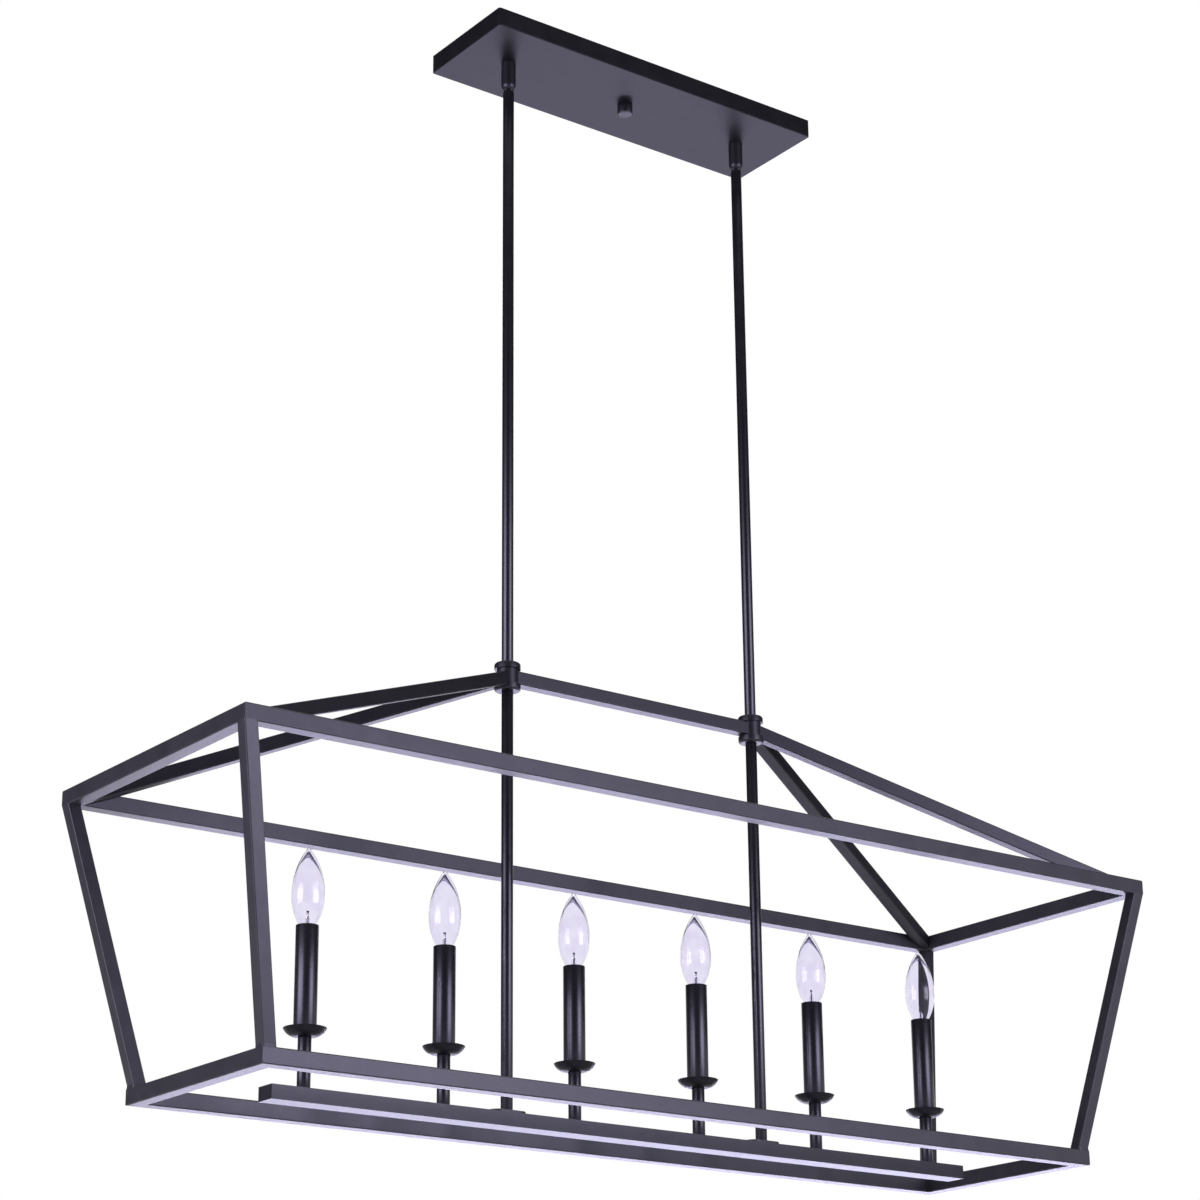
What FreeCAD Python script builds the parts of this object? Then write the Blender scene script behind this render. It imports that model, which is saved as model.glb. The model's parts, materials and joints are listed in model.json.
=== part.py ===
import FreeCAD
import Part
import math
import os

# Linear island pendant: a rectangular ceiling canopy, two rods on ball swivels, an open cage of
# square tube under a ridge bar, and a straight bar with six candle lamps inside the cage.
# Millimetres. The origin is the centre of the ceiling strap, on the ceiling. +Z is up, +X runs
# along the ridge, and -Y is the front. Heights below the ceiling are negative.

V = FreeCAD.Vector

# ---------------------------------------------------------------- driving dimensions
# canopy and ceiling strap
canopy_length = 435.0
canopy_width = 131.0
canopy_depth = 21.0
canopy_sheet = 1.2
canopy_corner_r = 3.0
canopy_edge_r = 1.0
strap_length = 112.0
strap_width = 22.0
strap_thickness = 2.5
strap_slot_spacing = 80.0
strap_slot_length = 22.0
strap_slot_width = 4.8
finial_diameter = 17.0
finial_height = 11.0
finial_edge = 1.5
finial_skin = 3.0

# threaded lamp pipe and its hexagon nuts
pipe_diameter = 9.6
pipe_bore = 6.6
pipe_fit = 0.05
pipe_grip = 12.0
nut_across_flats = 14.0
nut_thickness = 3.5
nut_tail = 1.5

# ball swivels
rod_spacing = 320.0
swivel_diameter = 16.0
swivel_length = 34.0
ball_diameter = 12.4
ball_fit = 0.2
ball_top = 3.8
ball_bore = 3.0
ball_funnel_deg = 35.0
neck_diameter = 5.6
neck_gap = 0.8
swing_deg = 25.0
swing_spare_deg = 2.5

# rods and hubs
rod_diameter = 12.0
hub_height = 30.0
hub_disc_diameter = 27.0
hub_disc_height = 7.0
hub_disc_round = 2.6
hub_body_diameter = 22.0

# cage of square tube
frame_drop = 1184.0
rail_side = 16.0
brace_side = 14.0
tube_wall = 1.2
tube_edge_r = 1.2
lower_length = 1016.0
lower_width = 252.0
upper_length = 1130.0
upper_width = 352.0
cage_height = 309.0
ridge_height = 461.0
post_inset = 0.8

# socket bar
bar_length = 862.0
bar_width = 24.0
bar_height = 14.0
bar_wall = 1.2
bar_below_frame = 6.0
bar_cover_gap = 0.1
rod_plate_length = 41.0
rod_plate_width = 20.0
rod_plate_thickness = 2.5
cover_screw_spacing = 312.0
cover_screw_offset = 6.5
cover_boss_diameter = 5.6
cover_screw_diameter = 2.9
cover_head_diameter = 5.2
cover_hole_depth = 9.0
cover_hole_spare = 1.0
screw_fit = 0.05

# candle lamps
lamp_count = 6
lamp_spacing = 156.0
stem_diameter = 13.0
stem_length = 49.5
cup_diameter = 41.6
cup_depth = 8.0
cup_foot_diameter = 16.0
cup_sheet = 1.0
cup_seat = 1.5
cup_rim_deg = 1.5
sleeve_diameter = 22.2
sleeve_wall = 0.9
sleeve_length = 105.0
pipe_above_cup = 8.0

# lamp sockets, hidden in the sleeves
socket_below_sleeve = 10.5
socket_diameter = 17.8
socket_length = 36.0
socket_bore_depth = 22.0
shell_inner_diameter = 12.2
shell_wall = 0.4
shell_length = 15.0
bracket_sheet = 1.2
bracket_width = 8.0
bracket_collar_diameter = 16.0
bracket_collar_height = 5.0
bracket_tab = 5.3
contact_sheet = 0.5
contact_width = 4.0
contact_length = 6.0
contact_gap = 0.3

# bulbs: heights are above the sleeve's top
bulb_diameter = 32.2
bulb_belly_height = 29.0
bulb_height = 77.0
bulb_tip_diameter = 2.0
bulb_tip_rise = 0.7
bulb_neck_diameter = 16.0
bulb_throat_diameter = 13.2
bulb_throat_depth = 7.0
bulb_glass = 0.8
bulb_mount_diameter = 4.8
bulb_mount_height = 6.0
bulb_press_diameter = 1.8
bulb_press_height = 9.5
base_collar_diameter = 14.0
base_collar_height = 2.2
base_diameter = 12.0
base_length = 14.0
base_insulator_diameter = 9.0
base_insulator_height = 2.0
base_tip_diameter = 4.0
base_tip_height = 1.2

# wiring
lead_diameter = 2.4
lead_bend_r = 6.5
pivot_gap = 0.4
lead_below_ceiling = 8.0
lead_above_cover = 1.6
block_length = 28.0
block_width = 18.0
block_left = 100.0
block_well_diameter = 4.6
block_well_depth = 7.0
block_groove = 1.6
block_above_lead = 4.5
ground_x = -20.0
ground_screw_diameter = 3.5
ground_head_diameter = 7.6
ground_head_height = 2.4
ground_ring_diameter = 9.0
ground_ring_thickness = 0.8
ground_wire_diameter = 1.8
ground_wire_gap = 0.1
ground_bend_r = 8.0
ground_reach = 20.0

# ---------------------------------------------------------------- sizes that follow
canopy_floor = -canopy_depth + canopy_sheet
pipe_hole = pipe_diameter / 2 + pipe_fit
swivel_bottom = -canopy_depth - swivel_length
pivot_z = swivel_bottom + swivel_diameter / 2
rod_top = swivel_bottom - neck_gap
rod_x = rod_spacing / 2

frame_bottom = -frame_drop
lower_top = frame_bottom + rail_side
upper_top = frame_bottom + cage_height
upper_bottom = upper_top - rail_side
ridge_z = frame_bottom + ridge_height - brace_side / 2
hub_top = ridge_z + hub_height / 2
hub_bottom = ridge_z - hub_height / 2

bar_bottom = frame_bottom - bar_below_frame
bar_top = bar_bottom + bar_height
bar_ceiling = bar_top - bar_wall
cover_top = bar_bottom + bar_wall
rod_bottom = bar_top + rod_plate_thickness
pipe_end_in_bar = bar_ceiling - nut_thickness - nut_tail

cup_bottom = bar_top + stem_length
sleeve_bottom = cup_bottom + cup_seat
sleeve_top = sleeve_bottom + sleeve_length
socket_top = sleeve_top - socket_below_sleeve
socket_bottom = socket_top - socket_length
socket_floor = socket_top - socket_bore_depth
base_top = sleeve_top - bulb_throat_depth
collar_bottom = base_top - base_collar_height
base_bottom = socket_top - base_length
base_tip = base_bottom - base_insulator_height - base_tip_height

lamp_xs = [(i - (lamp_count - 1) / 2) * lamp_spacing for i in range(lamp_count)]
rod_xs = (-rod_x, rod_x)


# ---------------------------------------------------------------- helpers
def turned(start, *steps):
    """A solid turned about Z from an outline of (radius, height) points. A pair of points is an
    arc's middle and end."""
    edges = []
    here = start
    for step in steps + (start,):
        if isinstance(step[0], tuple):
            middle, end = step
            points = [V(r, 0, z) for r, z in (here, middle, end)]
            edges.append(Part.Arc(*points).toShape())
        else:
            end = step
            edges.append(Part.LineSegment(V(here[0], 0, here[1]), V(end[0], 0, end[1])).toShape())
        here = end
    return Part.Face(Part.Wire(edges)).revolve(V(0, 0, 0), V(0, 0, 1), 360)


def on_circle(centre, radius, degrees):
    """The (radius, height) point at an angle up from the horizontal on a circle of an outline."""
    angle = math.radians(degrees)
    return (centre[0] + radius * math.cos(angle), centre[1] + radius * math.sin(angle))


def arc_between(centre, radius, start_deg, end_deg):
    middle = on_circle(centre, radius, (start_deg + end_deg) / 2)
    return (middle, on_circle(centre, radius, end_deg))


def disc(radius, bottom, top, x=0.0, y=0.0):
    return Part.makeCylinder(radius, top - bottom, V(x, y, bottom))


def tube(outer, inner, bottom, top):
    return disc(outer, bottom, top).cut(disc(inner, bottom, top))


def block(x0, x1, y0, y1, z0, z1):
    return Part.makeBox(x1 - x0, y1 - y0, z1 - z0, V(x0, y0, z0))


def hexagon(across_flats, bottom, top):
    radius = across_flats / math.sqrt(3)
    corners = [V(radius * math.cos(math.radians(60 * i)), radius * math.sin(math.radians(60 * i)), bottom)
               for i in range(7)]
    return Part.Face(Part.makePolygon(corners)).extrude(V(0, 0, top - bottom))


def nut(bottom):
    return hexagon(nut_across_flats, bottom, bottom + nut_thickness).cut(
        disc(pipe_hole, bottom, bottom + nut_thickness))


def pipe(bottom, top):
    return tube(pipe_diameter / 2, pipe_bore / 2, bottom, top)


def copies(shape, xs):
    """The same piece at each place along X, as separate solids."""
    return Part.makeCompound([shape.translated(V(x, 0, 0)) for x in xs])


def group(*shapes):
    """Separate solids in one node."""
    return Part.makeCompound([solid for shape in shapes for solid in shape.Solids])


def rounded_square(side, radius, centre):
    """A square wire with round corners, level, about a centre point."""
    half = side / 2
    flat = half - radius
    lean = radius * math.cos(math.radians(45))
    edges = []
    for turn in range(4):
        spin = FreeCAD.Rotation(V(0, 0, 1), 90 * turn)
        corner = [V(half, flat, 0), V(flat + lean, flat + lean, 0), V(flat, half, 0)]
        corner = [centre + spin.multVec(p) for p in corner]
        side_end = centre + spin.multVec(V(-flat, half, 0))
        edges.append(Part.Arc(*corner).toShape())
        edges.append(Part.LineSegment(corner[2], side_end).toShape())
    return Part.Wire(edges)


def square_tube(side, bottom_centre, top_centre):
    """A square tube between two level ends."""
    outer = [rounded_square(side, tube_edge_r, c) for c in (bottom_centre, top_centre)]
    bore = side - 2 * tube_wall
    corners = [V(sx * bore / 2, sy * bore / 2, 0) for sx, sy in ((1, 1), (-1, 1), (-1, -1), (1, -1), (1, 1))]
    inner = [Part.makePolygon([c + p for p in corners]) for c in (bottom_centre, top_centre)]
    return Part.makeLoft(outer, True, True).cut(Part.makeLoft(inner, True, True))


def tube_along(side, start, end):
    """A square tube laid from one point to another, with two of its sides upright."""
    way = end - start
    upright = square_tube(side, V(0, 0, 0), V(0, 0, way.Length))
    heading = math.degrees(math.atan2(way.y, way.x))
    climb = math.degrees(math.asin(way.z / way.Length))
    spin = FreeCAD.Rotation(V(0, 0, 1), heading).multiply(FreeCAD.Rotation(V(0, 1, 0), 90 - climb))
    upright.Placement = FreeCAD.Placement(start, spin)
    return upright


def wire_path(points, bend_r):
    """Straight runs joined by tangent arcs of one radius."""
    edges = []
    here = points[0]
    for before, corner, after in zip(points, points[1:], points[2:]):
        into = (corner - before).normalize()
        out = (after - corner).normalize()
        half_turn = into.getAngle(out) / 2
        setback = bend_r * math.tan(half_turn)
        arc_start = corner - into * setback
        arc_end = corner + out * setback
        inward = (out - into).normalize()
        middle = corner + inward * (bend_r / math.cos(half_turn) - bend_r)
        edges.append(Part.LineSegment(here, arc_start).toShape())
        edges.append(Part.Arc(arc_start, middle, arc_end).toShape())
        here = arc_end
    edges.append(Part.LineSegment(here, points[-1]).toShape())
    return Part.Wire(edges)


def lead(points, bend_r, diameter):
    path = wire_path(points, bend_r)
    section = Part.Wire([Part.makeCircle(diameter / 2, points[0], points[1] - points[0])])
    return path.makePipeShell([section], True, False)


parts = {}


# ---------------------------------------------------------------- canopy
def make_strap():
    """Flat steel strap that screws to the ceiling box through two slots."""
    strap = block(-strap_length / 2, strap_length / 2, -strap_width / 2, strap_width / 2,
                  -strap_thickness, 0)
    strap = strap.cut(disc(pipe_hole, -strap_thickness, 0))
    strap = strap.cut(disc(ground_screw_diameter / 2 + screw_fit, -strap_thickness, 0, ground_x))
    reach = (strap_slot_length - strap_slot_width) / 2
    for x in (-strap_slot_spacing / 2, strap_slot_spacing / 2):
        strap = strap.cut(block(x - reach, x + reach, -strap_slot_width / 2, strap_slot_width / 2,
                                -strap_thickness, 0))
        for end in (x - reach, x + reach):
            strap = strap.cut(disc(strap_slot_width / 2, -strap_thickness, 0, end))
    return strap


def make_canopy_pan():
    """Folded sheet pan, open towards the ceiling."""
    outer = block(-canopy_length / 2, canopy_length / 2, -canopy_width / 2, canopy_width / 2,
                  -canopy_depth, 0)
    upright = [e for e in outer.Edges if abs(e.tangentAt(e.FirstParameter).z) > 0.9]
    outer = outer.makeFillet(canopy_corner_r, upright)
    lowest = [e for e in outer.Edges if abs(e.CenterOfMass.z + canopy_depth) < 0.01]
    outer = outer.makeFillet(canopy_edge_r, lowest)
    half_length = canopy_length / 2 - canopy_sheet
    half_width = canopy_width / 2 - canopy_sheet
    inner = block(-half_length, half_length, -half_width, half_width, canopy_floor, 0)
    upright = [e for e in inner.Edges if abs(e.tangentAt(e.FirstParameter).z) > 0.9]
    inner = inner.makeFillet(canopy_corner_r - canopy_sheet, upright)
    pan = outer.cut(inner)
    for x in (0.0, -rod_x, rod_x):
        pan = pan.cut(disc(pipe_hole, -canopy_depth, canopy_floor, x))
    return pan


def make_finial():
    """Plain turned cap nut that holds the canopy up on the centre pipe."""
    radius = finial_diameter / 2
    top = -canopy_depth
    bottom = top - finial_height
    roof = bottom + finial_skin
    return turned((0, bottom), (radius - finial_edge, bottom), (radius, bottom + finial_edge),
                  (radius, top), (pipe_hole, top), (pipe_hole, roof), (0, roof))


parts["ceiling_strap"] = make_strap()
parts["canopy_pan"] = make_canopy_pan()
parts["finial"] = make_finial()
centre_pipe = pipe(-canopy_depth - finial_height + finial_skin, 0)
swivel_pipe_bottom = pivot_z + ball_diameter / 2 + ball_top
swivel_pipe_top = canopy_floor + nut_thickness + nut_tail
parts["canopy_nipples"] = group(centre_pipe, copies(pipe(swivel_pipe_bottom, swivel_pipe_top), rod_xs))
parts["canopy_nuts"] = group(nut(-strap_thickness - nut_thickness), copies(nut(canopy_floor), rod_xs))


# ---------------------------------------------------------------- ball swivels
def make_swivel_body():
    """Turned sleeve with a round lower end, open in a cone through which the ball's neck swings."""
    centre = (0.0, pivot_z)
    outer = swivel_diameter / 2
    cavity = ball_diameter / 2 + ball_fit
    neck_deg = math.degrees(math.asin(neck_diameter / 2 / cavity))
    mouth_deg = -90 + neck_deg + swing_deg + swing_spare_deg
    return turned((outer, -canopy_depth), (outer, pivot_z), arc_between(centre, outer, 0, mouth_deg),
                  on_circle(centre, cavity, mouth_deg), arc_between(centre, cavity, mouth_deg, 0),
                  (cavity, swivel_pipe_bottom), (pipe_hole, swivel_pipe_bottom),
                  (pipe_hole, -canopy_depth))


def make_swivel_ball():
    """Hollow ball with a neck and a threaded shank that screws into the rod."""
    centre = (0.0, pivot_z)
    ball_r = ball_diameter / 2
    neck_r = neck_diameter / 2
    bore_r = ball_bore / 2
    funnel_r = bore_r + ball_top * math.tan(math.radians(ball_funnel_deg))
    top_deg = math.degrees(math.asin(ball_top / ball_r))
    neck_deg = -math.degrees(math.acos(neck_r / ball_r))
    return turned((bore_r, pivot_z), (funnel_r, pivot_z + ball_top), on_circle(centre, ball_r, top_deg),
                  arc_between(centre, ball_r, top_deg, neck_deg), (neck_r, rod_top),
                  (pipe_diameter / 2, rod_top), (pipe_diameter / 2, rod_top - pipe_grip),
                  (bore_r, rod_top - pipe_grip))


parts["swivel_bodies"] = copies(make_swivel_body(), rod_xs)
parts["swivel_balls"] = copies(make_swivel_ball(), rod_xs)


# ---------------------------------------------------------------- rods and hubs
def make_hub():
    """Turned spool: the rods butt on its discs, and the braces meet its body."""
    body_r = hub_body_diameter / 2
    disc_r = hub_disc_diameter / 2
    waist_top = hub_top - hub_disc_height
    waist_bottom = hub_bottom + hub_disc_height
    return turned(
        (pipe_hole, hub_bottom), (disc_r - hub_disc_round, hub_bottom),
        arc_between((disc_r - hub_disc_round, hub_bottom + hub_disc_round), hub_disc_round, -90, 0),
        (disc_r, waist_bottom), (body_r, waist_bottom), (body_r, waist_top), (disc_r, waist_top),
        (disc_r, hub_top - hub_disc_round),
        arc_between((disc_r - hub_disc_round, hub_top - hub_disc_round), hub_disc_round, 0, 90),
        (pipe_hole, hub_top))


upper_rod = tube(rod_diameter / 2, pipe_hole, hub_top, rod_top)
lower_rod = tube(rod_diameter / 2, pipe_hole, rod_bottom, hub_bottom)
hub = make_hub()
solid_hub = group(hub.fuse(disc(pipe_hole, hub_bottom, hub_top)))
parts["hubs"] = copies(hub, rod_xs)
for side, x in zip(("left", "right"), rod_xs):
    parts["upper_rod_" + side] = upper_rod.translated(V(x, 0, 0))
    parts["lower_rod_" + side] = lower_rod.translated(V(x, 0, 0))


# ---------------------------------------------------------------- cage
def make_rails(length, width, bottom):
    """Four mitred rails of a level rectangle, by name."""
    half_length = length / 2
    half_width = width / 2
    middle = bottom + rail_side / 2
    rails = {}
    for name, long_half, short_half, turn in (("front", half_length, half_width, 0),
                                              ("right", half_width, half_length, 90),
                                              ("rear", half_length, half_width, 180),
                                              ("left", half_width, half_length, 270)):
        line_y = -short_half + rail_side / 2
        rail = tube_along(rail_side, V(-long_half, line_y, middle), V(long_half, line_y, middle))
        mitre = Part.Face(Part.makePolygon([
            V(-long_half, -short_half, bottom), V(long_half, -short_half, bottom),
            V(long_half - rail_side, -short_half + rail_side, bottom),
            V(-long_half + rail_side, -short_half + rail_side, bottom),
            V(-long_half, -short_half, bottom)])).extrude(V(0, 0, rail_side))
        rail = rail.common(mitre)
        rail.rotate(V(0, 0, 0), V(0, 0, 1), turn)
        rails[name] = rail
    return rails


def make_rafter(x_sign, y_sign):
    """Sloping brace from a hub down to an inner corner of the upper rectangle."""
    corner_x = upper_length / 2 - rail_side
    corner_y = upper_width / 2 - rail_side
    start = V(x_sign * rod_x, 0, ridge_z)
    corner = V(x_sign * corner_x, y_sign * corner_y, upper_bottom + rail_side / 2)
    beyond = corner + (corner - start).normalize() * (2 * rail_side)
    brace = tube_along(brace_side, start, beyond)
    quarter = block(rod_x, corner_x, 0, corner_y, upper_bottom - rail_side, hub_top + rail_side)
    if x_sign < 0:
        quarter = quarter.mirror(V(0, 0, 0), V(1, 0, 0))
    if y_sign < 0:
        quarter = quarter.mirror(V(0, 0, 0), V(0, 1, 0))
    return brace.common(quarter).cut(solid_hub.translated(V(x_sign * rod_x, 0, 0)))


def make_post(x_sign, y_sign):
    """Leaning corner post from the lower rectangle up to the wider upper one."""
    top_reach = brace_side / 2
    foot_reach = brace_side / 2 + post_inset
    foot = V(x_sign * (lower_length / 2 - foot_reach), y_sign * (lower_width / 2 - foot_reach), lower_top)
    head = V(x_sign * (upper_length / 2 - top_reach), y_sign * (upper_width / 2 - top_reach), upper_bottom)
    return square_tube(brace_side, foot, head)


def make_ridge():
    """Level bar between the two hubs."""
    bar = tube_along(brace_side, V(-rod_x, 0, ridge_z), V(rod_x, 0, ridge_z))
    for x in rod_xs:
        bar = bar.cut(solid_hub.translated(V(x, 0, 0)))
    return bar


for side, rail in make_rails(upper_length, upper_width, upper_bottom).items():
    parts["upper_rail_" + side] = rail
for side, rail in make_rails(lower_length, lower_width, frame_bottom).items():
    parts["lower_rail_" + side] = rail
for y_name, y_sign in (("front", -1), ("rear", 1)):
    for x_name, x_sign in (("left", -1), ("right", 1)):
        parts["rafter_%s_%s" % (y_name, x_name)] = make_rafter(x_sign, y_sign)
        parts["post_%s_%s" % (y_name, x_name)] = make_post(x_sign, y_sign)
parts["ridge_bar"] = make_ridge()

# ---------------------------------------------------------------- socket bar
cover_screw_xs = (-cover_screw_spacing, 0.0, cover_screw_spacing)
cover_screw_r = cover_screw_diameter / 2
cover_screw_hole = cover_screw_r + screw_fit


def make_socket_bar():
    """Shallow channel, open below, with closed ends and three bosses for the cover's screws."""
    half_length = bar_length / 2
    half_width = bar_width / 2
    bar = block(-half_length, half_length, -half_width, half_width, bar_bottom, bar_top)
    bar = bar.cut(block(-half_length + bar_wall, half_length - bar_wall,
                        -half_width + bar_wall, half_width - bar_wall, bar_bottom, bar_ceiling))
    for x in cover_screw_xs:
        boss = disc(cover_boss_diameter / 2, cover_top, bar_ceiling, x, cover_screw_offset)
        bar = bar.fuse(boss)
        bar = bar.cut(disc(cover_screw_hole, cover_top, cover_top + cover_hole_depth, x,
                           cover_screw_offset))
    for x in list(lamp_xs) + list(rod_xs):
        bar = bar.cut(disc(pipe_hole, bar_ceiling, bar_top, x))
    return bar.removeSplitter()


def make_bar_cover():
    """Flat plate that closes the channel from below."""
    half_length = bar_length / 2 - bar_wall - bar_cover_gap
    half_width = bar_width / 2 - bar_wall - bar_cover_gap
    cover = block(-half_length, half_length, -half_width, half_width, bar_bottom, cover_top)
    for x in cover_screw_xs:
        hole = countersunk(cover_screw_hole, cover_top)
        cover = cover.cut(hole.translated(V(x, cover_screw_offset, 0)))
    return cover


def countersunk(shank_r, top):
    """A shank with a flat 90 degree head, flush with the bar's underside."""
    head_r = cover_head_diameter / 2
    return turned((0, bar_bottom), (head_r, bar_bottom), (shank_r, bar_bottom + head_r - shank_r),
                  (shank_r, top), (0, top))


def make_cover_screw():
    screw = countersunk(cover_screw_r, cover_top + cover_hole_depth - cover_hole_spare)
    return screw.translated(V(0, cover_screw_offset, 0))


def make_rod_plate():
    """Round-ended plate that spreads a rod's load on top of the bar."""
    half_width = rod_plate_width / 2
    flat = rod_plate_length / 2 - half_width
    plate = block(-flat, flat, -half_width, half_width, bar_top, rod_bottom)
    for x in (-flat, flat):
        plate = plate.fuse(disc(half_width, bar_top, rod_bottom, x))
    return plate.removeSplitter().cut(disc(pipe_hole, bar_top, rod_bottom))


parts["socket_bar"] = make_socket_bar()
parts["bar_cover"] = make_bar_cover()
parts["cover_screws"] = copies(make_cover_screw(), cover_screw_xs)
parts["rod_plates"] = copies(make_rod_plate(), rod_xs)
parts["bar_nuts"] = copies(nut(bar_ceiling - nut_thickness), list(lamp_xs) + list(rod_xs))
parts["threaded_nipples"] = group(
    copies(pipe(hub_bottom - pipe_grip, hub_top + pipe_grip), rod_xs),
    copies(pipe(pipe_end_in_bar, rod_bottom + pipe_grip), rod_xs),
    copies(pipe(pipe_end_in_bar, sleeve_bottom + pipe_above_cup), lamp_xs))


# ---------------------------------------------------------------- candle lamps
def make_drip_cup():
    """Spun dish with a thin rim, clamped between the stem and the socket's bracket."""
    foot_r = cup_foot_diameter / 2
    rim_r = cup_diameter / 2
    rise = cup_depth - cup_sheet / 2
    spread = rim_r - foot_r
    curve_r = (spread ** 2 + rise ** 2) / (2 * rise)
    centre = (foot_r, cup_bottom + curve_r)
    rim_deg = -90 + math.degrees(math.asin(spread / curve_r))
    inner_r = curve_r - cup_sheet
    seat_deg = -math.degrees(math.asin((centre[1] - sleeve_bottom) / inner_r))
    return turned((pipe_hole, cup_bottom), (foot_r, cup_bottom),
                  arc_between(centre, curve_r, -90, rim_deg),
                  on_circle(centre, inner_r, rim_deg + cup_rim_deg),
                  arc_between(centre, inner_r, rim_deg + cup_rim_deg, seat_deg),
                  (pipe_hole, sleeve_bottom))


def make_bracket():
    """Threaded collar with a bent strap that carries the socket."""
    collar_r = bracket_collar_diameter / 2
    collar_top = sleeve_bottom + bracket_collar_height
    half = bracket_width / 2
    bracket = tube(collar_r, pipe_hole, sleeve_bottom, collar_top)
    strap_x = collar_r - bracket_sheet
    bracket = bracket.fuse(block(strap_x, collar_r, -half, half, sleeve_bottom, socket_bottom))
    tab = block(collar_r - bracket_tab, collar_r, -half, half, socket_bottom - bracket_sheet, socket_bottom)
    return bracket.fuse(tab).removeSplitter()


def make_socket_body():
    """Moulded phenolic barrel, blind at its lower end."""
    barrel = disc(socket_diameter / 2, socket_bottom, socket_top)
    return barrel.cut(disc(shell_inner_diameter / 2 + shell_wall, socket_floor, socket_top))


def make_contact():
    """Bent spring leaf on the socket's floor, just under the bulb's tip."""
    half = contact_width / 2
    reach = contact_length / 2
    leaf_top = base_tip - contact_gap
    foot = block(-reach, reach, -half, half, socket_floor, socket_floor + contact_sheet)
    riser = block(-reach, -reach + contact_sheet, -half, half, socket_floor, leaf_top)
    leaf = block(-reach, reach, -half, half, leaf_top - contact_sheet, leaf_top)
    return foot.fuse(riser).fuse(leaf).removeSplitter()


stem = tube(stem_diameter / 2, pipe_hole, bar_top, cup_bottom)
sleeve = tube(sleeve_diameter / 2, sleeve_diameter / 2 - sleeve_wall, sleeve_bottom, sleeve_top)
shell_outer = shell_inner_diameter / 2 + shell_wall
shell = tube(shell_outer, shell_inner_diameter / 2, socket_top - shell_length, socket_top)
parts["candle_stems"] = copies(stem, lamp_xs)
parts["drip_cups"] = copies(make_drip_cup(), lamp_xs)
parts["candle_sleeves"] = copies(sleeve, lamp_xs)
parts["socket_brackets"] = copies(make_bracket(), lamp_xs)
parts["socket_bodies"] = copies(make_socket_body(), lamp_xs)
parts["socket_shells"] = copies(shell, lamp_xs)
parts["socket_contacts"] = copies(make_contact(), lamp_xs)


# ---------------------------------------------------------------- bulbs
def ogive(radius, height, tip_r, tip_z, belly_z):
    """Centre and radius of the arc that is upright at the belly and passes the tip."""
    spread = radius - tip_r
    rise = tip_z - belly_z
    curve_r = (spread ** 2 + rise ** 2) / (2 * spread)
    return (radius - curve_r, belly_z), curve_r


def make_bulb_glass():
    """Torpedo envelope of two arcs, with the glass mount that rises inside it."""
    belly_r = bulb_diameter / 2
    belly_z = sleeve_top + bulb_belly_height
    tip_z = sleeve_top + bulb_height - bulb_tip_rise
    tip_r = bulb_tip_diameter / 2
    neck_r = bulb_neck_diameter / 2
    throat_r = bulb_throat_diameter / 2
    upper_centre, upper_r = ogive(belly_r, bulb_height, tip_r, tip_z, belly_z)
    lower_centre, lower_r = ogive(belly_r, bulb_belly_height, neck_r, sleeve_top, belly_z)
    tip_deg = math.degrees(math.asin((tip_z - belly_z) / upper_r))
    neck_deg = math.degrees(math.asin((sleeve_top - belly_z) / lower_r))
    inner_upper = upper_r - bulb_glass
    inner_lower = lower_r - bulb_glass
    inner_tip_deg = math.degrees(math.acos(-upper_centre[0] / inner_upper))
    inner_tip_z = on_circle(upper_centre, inner_upper, inner_tip_deg)[1]
    floor_z = base_top + bulb_glass
    mount_r = bulb_mount_diameter / 2
    press_r = bulb_press_diameter / 2
    return turned(
        (0, base_top), (throat_r, base_top), (neck_r, sleeve_top),
        arc_between(lower_centre, lower_r, neck_deg, 0),
        arc_between(upper_centre, upper_r, 0, tip_deg),
        (0, sleeve_top + bulb_height), (0, inner_tip_z),
        arc_between(upper_centre, inner_upper, inner_tip_deg, 0),
        arc_between(lower_centre, inner_lower, 0, neck_deg),
        (throat_r - bulb_glass, floor_z), (mount_r, floor_z),
        (mount_r, sleeve_top + bulb_mount_height), (press_r, sleeve_top + bulb_press_height),
        (0, sleeve_top + bulb_press_height))


def make_bulb_base():
    """Screw base: crimped collar, thread shell, insulator and centre contact."""
    collar_r = base_collar_diameter / 2
    shell_r = base_diameter / 2
    insulator_r = base_insulator_diameter / 2
    tip_r = base_tip_diameter / 2
    insulator_bottom = base_bottom - base_insulator_height
    return turned((0, base_tip), (tip_r, base_tip), (tip_r, insulator_bottom),
                  (insulator_r, base_bottom), (shell_r, base_bottom), (shell_r, collar_bottom),
                  (collar_r, collar_bottom), (collar_r, base_top), (0, base_top))


bulb_glass_shape = make_bulb_glass()
bulb_base_shape = make_bulb_base()
for number, x in enumerate(lamp_xs, start=1):
    parts["bulb_%d_glass" % number] = bulb_glass_shape.translated(V(x, 0, 0))
    parts["bulb_%d_base" % number] = bulb_base_shape.translated(V(x, 0, 0))

# ---------------------------------------------------------------- wiring
lead_r = lead_diameter / 2
lead_level = -lead_below_ceiling
block_top = lead_level + block_above_lead


def make_lantern_wiring():
    """Lead down the left rod, along the bar and up each stem to its socket."""
    run_z = cover_top + lead_above_cover + lead_r
    run = Part.makeCylinder(lead_r, lamp_xs[-1] - lamp_xs[0], V(lamp_xs[0], 0, run_z), V(1, 0, 0))
    wiring = run.fuse(disc(lead_r, run_z, pivot_z - pivot_gap, -rod_x))
    for x in lamp_xs:
        wiring = wiring.fuse(disc(lead_r, run_z, socket_bottom, x))
    return wiring


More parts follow.
